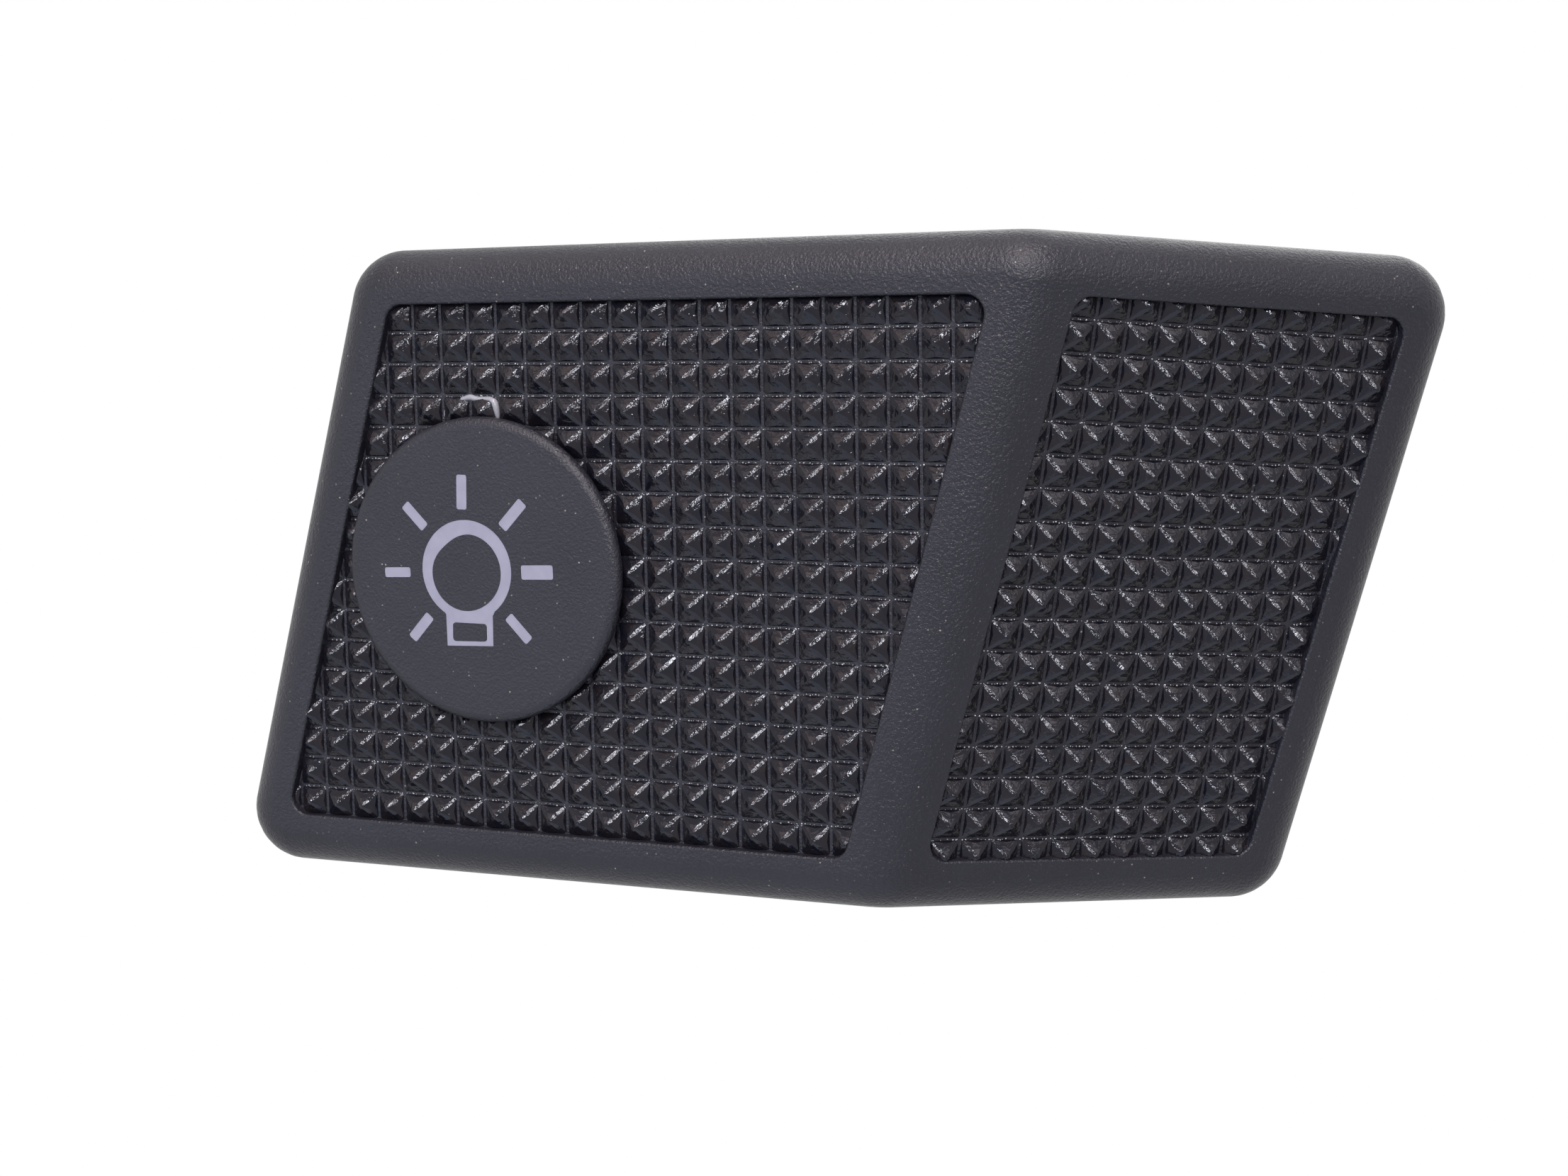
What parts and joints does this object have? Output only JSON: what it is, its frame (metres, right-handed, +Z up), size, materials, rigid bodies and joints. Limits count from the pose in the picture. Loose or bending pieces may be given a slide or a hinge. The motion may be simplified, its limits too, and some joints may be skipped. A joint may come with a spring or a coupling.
{
  "type": "headlight switch",
  "caption": "Dashboard headlight switch: a chevron-faced rocker key with knurled fields and a lit bulb symbol, on a snap-in housing with blade terminals.",
  "frame": {"origin": "middle of the flange's back face, where the switch sits on its panel", "axes": "+X to the right as the driver sees it, +Y into the dashboard, +Z up"},
  "size_m": [0.0578, 0.0632, 0.0314],
  "materials": {
    "key_black": "fine satin grain, glossier on the pyramids' edges",
    "disc_black": "satin",
    "symbol_grey": "translucent, unlit, lilac grey",
    "carrier_grey": "moulded",
    "housing_black": "moulded",
    "slider_nylon": "moulded, natural colour",
    "steel": "bright",
    "contact_brass": "stamped",
    "lamp_glass": "clear",
    "guide_clear": "clear moulding"
  },
  "bodies": {
    "base": {"housing": "housing_black", "pivot_pin": "steel", "terminal_base": "housing_black", "terminal_supply": "contact_brass", "terminal_side_light": "contact_brass", "terminal_head_light": "contact_brass", "terminal_lamp": "contact_brass", "terminal_ground": "contact_brass", "lamp_holder": "carrier_grey", "lamp_bulb": "lamp_glass", "light_guide": "guide_clear", "clip_left": "steel", "clip_right": "steel"},
    "rocker": {"key_cap": "key_black", "symbol_disc": "disc_black", "symbol_lens": "symbol_grey", "rocker_carrier": "carrier_grey", "detent_spring_upper": "steel", "detent_spring_lower": "steel"},
    "plunger_upper": {"detent_plunger_upper": "steel"},
    "plunger_lower": {"detent_plunger_lower": "steel"},
    "slider": {"contact_slider": "slider_nylon", "side_light_bridge": "contact_brass", "head_light_bridge": "contact_brass"}
  },
  "joints": [
    {"name": "key_rock", "type": "hinge", "parent": "base", "child": "rocker", "pos_m": [0, 0.004, 0], "axis": [0, 0, 1], "range_deg": [-7, 7]},
    {"name": "contact_slide", "type": "slide", "parent": "base", "child": "slider", "axis": [1, 0, 0], "range_m": [-0.00172, 0.00172]},
    {"name": "upper_plunger_slide", "type": "slide", "parent": "rocker", "child": "plunger_upper", "axis": [0, 1, 0], "range_m": [-0.0012, 0], "stiffness_N_per_m": 800, "springref_m": 0.002, "deforming": ["detent_spring_upper"]},
    {"name": "lower_plunger_slide", "type": "slide", "parent": "rocker", "child": "plunger_lower", "axis": [0, 1, 0], "range_m": [-0.0012, 0], "stiffness_N_per_m": 800, "springref_m": 0.002, "deforming": ["detent_spring_lower"]}
  ],
  "couplings": [
    {"joint": "contact_slide", "follows": "key_rock", "m_per_rad": -0.014}
  ]
}
